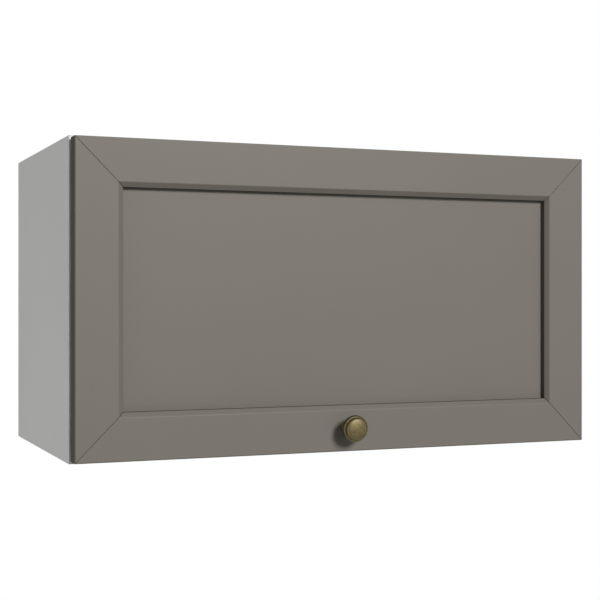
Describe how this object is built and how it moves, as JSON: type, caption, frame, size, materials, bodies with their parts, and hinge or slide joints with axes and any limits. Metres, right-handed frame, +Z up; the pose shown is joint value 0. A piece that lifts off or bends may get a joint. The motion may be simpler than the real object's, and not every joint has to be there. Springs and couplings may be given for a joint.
{
  "type": "lift up wall cabinet",
  "caption": "Low wide wall cabinet with one framed door, hinged along its top edge and carried up on lift stays, with a round turned knob on the bottom rail.",
  "frame": {"origin": "middle of the bottom board's rear edge, in the plane of the wall", "axes": "+X to the right when facing the door, +Y into the wall, +Z up; the door faces -Y"},
  "size_m": [0.6, 0.3402, 0.333],
  "materials": {
    "melamine_board": "white melamine faced chipboard, satin",
    "edge_band": "white edge band, satin",
    "hardboard_back": "white lacquered hardboard, matt",
    "foil_wrapped_mdf": "warm grey matt foil over MDF",
    "aged_brass": "antique brass, mottled patina",
    "cast_zinc": "die cast zinc, as cast",
    "zinc_plated_steel": "bright zinc plated",
    "nickel_plated_steel": "nickel plated, bright",
    "white_plastic": "moulded, satin",
    "grey_plastic": "moulded, fine texture",
    "black_painted_steel": "black painted, satin",
    "soft_bumper": "clear soft bumper"
  },
  "bodies": {
    "carcass": {"left_side_board": "melamine_board", "right_side_board": "melamine_board", "top_board": "melamine_board", "bottom_board": "melamine_board", "left_side_edge_band": "edge_band", "right_side_edge_band": "edge_band", "top_board_edge_band": "edge_band", "bottom_board_edge_band": "edge_band", "back_panel": "hardboard_back", "cam_top_left_front": "cast_zinc", "cam_top_left_rear": "cast_zinc", "cam_top_right_front": "cast_zinc", "cam_top_right_rear": "cast_zinc", "cam_bottom_left_front": "cast_zinc", "cam_bottom_left_rear": "cast_zinc", "cam_bottom_right_front": "cast_zinc", "cam_bottom_right_rear": "cast_zinc", "cam_bolt_top_left_front": "zinc_plated_steel", "cam_bolt_top_left_rear": "zinc_plated_steel", "cam_bolt_top_right_front": "zinc_plated_steel", "cam_bolt_top_right_rear": "zinc_plated_steel", "cam_bolt_bottom_left_front": "zinc_plated_steel", "cam_bolt_bottom_left_rear": "zinc_plated_steel", "cam_bolt_bottom_right_front": "zinc_plated_steel", "cam_bolt_bottom_right_rear": "zinc_plated_steel", "left_hanger_housing": "white_plastic", "left_hinge_arm": "nickel_plated_steel", "left_hinge_plate": "nickel_plated_steel", "left_stay_housing": "grey_plastic", "left_stay_spring_cartridge": "black_painted_steel", "left_stay_pivot_pin": "zinc_plated_steel", "right_hanger_housing": "white_plastic", "right_hinge_arm": "nickel_plated_steel", "right_hinge_plate": "nickel_plated_steel", "right_stay_housing": "grey_plastic", "right_stay_spring_cartridge": "black_painted_steel", "right_stay_pivot_pin": "zinc_plated_steel"},
    "door": {"door_top_rail": "foil_wrapped_mdf", "door_bottom_rail": "foil_wrapped_mdf", "door_left_stile": "foil_wrapped_mdf", "door_right_stile": "foil_wrapped_mdf", "door_centre_panel": "foil_wrapped_mdf", "knob": "aged_brass", "knob_screw": "zinc_plated_steel", "left_bumper": "soft_bumper", "left_hinge_cup": "nickel_plated_steel", "left_hinge_pin": "zinc_plated_steel", "left_stay_bracket": "nickel_plated_steel", "right_bumper": "soft_bumper", "right_hinge_cup": "nickel_plated_steel", "right_hinge_pin": "zinc_plated_steel", "right_stay_bracket": "nickel_plated_steel"},
    "left_arm": {"left_stay_arm": "nickel_plated_steel", "left_stay_elbow_pin": "zinc_plated_steel"},
    "left_link": {"left_stay_link": "nickel_plated_steel"},
    "left_hook": {"left_hanger_hook": "zinc_plated_steel"},
    "right_arm": {"right_stay_arm": "nickel_plated_steel", "right_stay_elbow_pin": "zinc_plated_steel"},
    "right_link": {"right_stay_link": "nickel_plated_steel"},
    "right_hook": {"right_hanger_hook": "zinc_plated_steel"}
  },
  "joints": [
    {"name": "door_hinge", "type": "hinge", "parent": "carcass", "child": "door", "pos_m": [0, -0.305, 0.3147], "axis": [-1, 0, 0], "range_deg": [0, 90]},
    {"name": "left_stay_pivot", "type": "hinge", "parent": "carcass", "child": "left_arm", "pos_m": [0, -0.23, 0.2697], "axis": [-1, 0, 0], "range_deg": [0, 90]},
    {"name": "left_stay_elbow", "type": "hinge", "parent": "left_arm", "child": "left_link", "pos_m": [0, -0.206, 0.1647], "axis": [-1, 0, 0], "range_deg": [-90, 0]},
    {"name": "left_hook_height", "type": "slide", "parent": "carcass", "child": "left_hook", "axis": [0, 0, 1], "range_m": [-0.006, 0.006]},
    {"name": "right_stay_pivot", "type": "hinge", "parent": "carcass", "child": "right_arm", "pos_m": [0, -0.23, 0.2697], "axis": [-1, 0, 0], "range_deg": [0, 90]},
    {"name": "right_stay_elbow", "type": "hinge", "parent": "right_arm", "child": "right_link", "pos_m": [0, -0.206, 0.1647], "axis": [-1, 0, 0], "range_deg": [-90, 0]},
    {"name": "right_hook_height", "type": "slide", "parent": "carcass", "child": "right_hook", "axis": [0, 0, 1], "range_m": [-0.006, 0.006]}
  ],
  "couplings": [
    {"joint": "left_stay_pivot", "follows": "door_hinge", "ratio": 1},
    {"joint": "left_stay_elbow", "follows": "door_hinge", "ratio": -1},
    {"joint": "right_stay_pivot", "follows": "door_hinge", "ratio": 1},
    {"joint": "right_stay_elbow", "follows": "door_hinge", "ratio": -1}
  ]
}
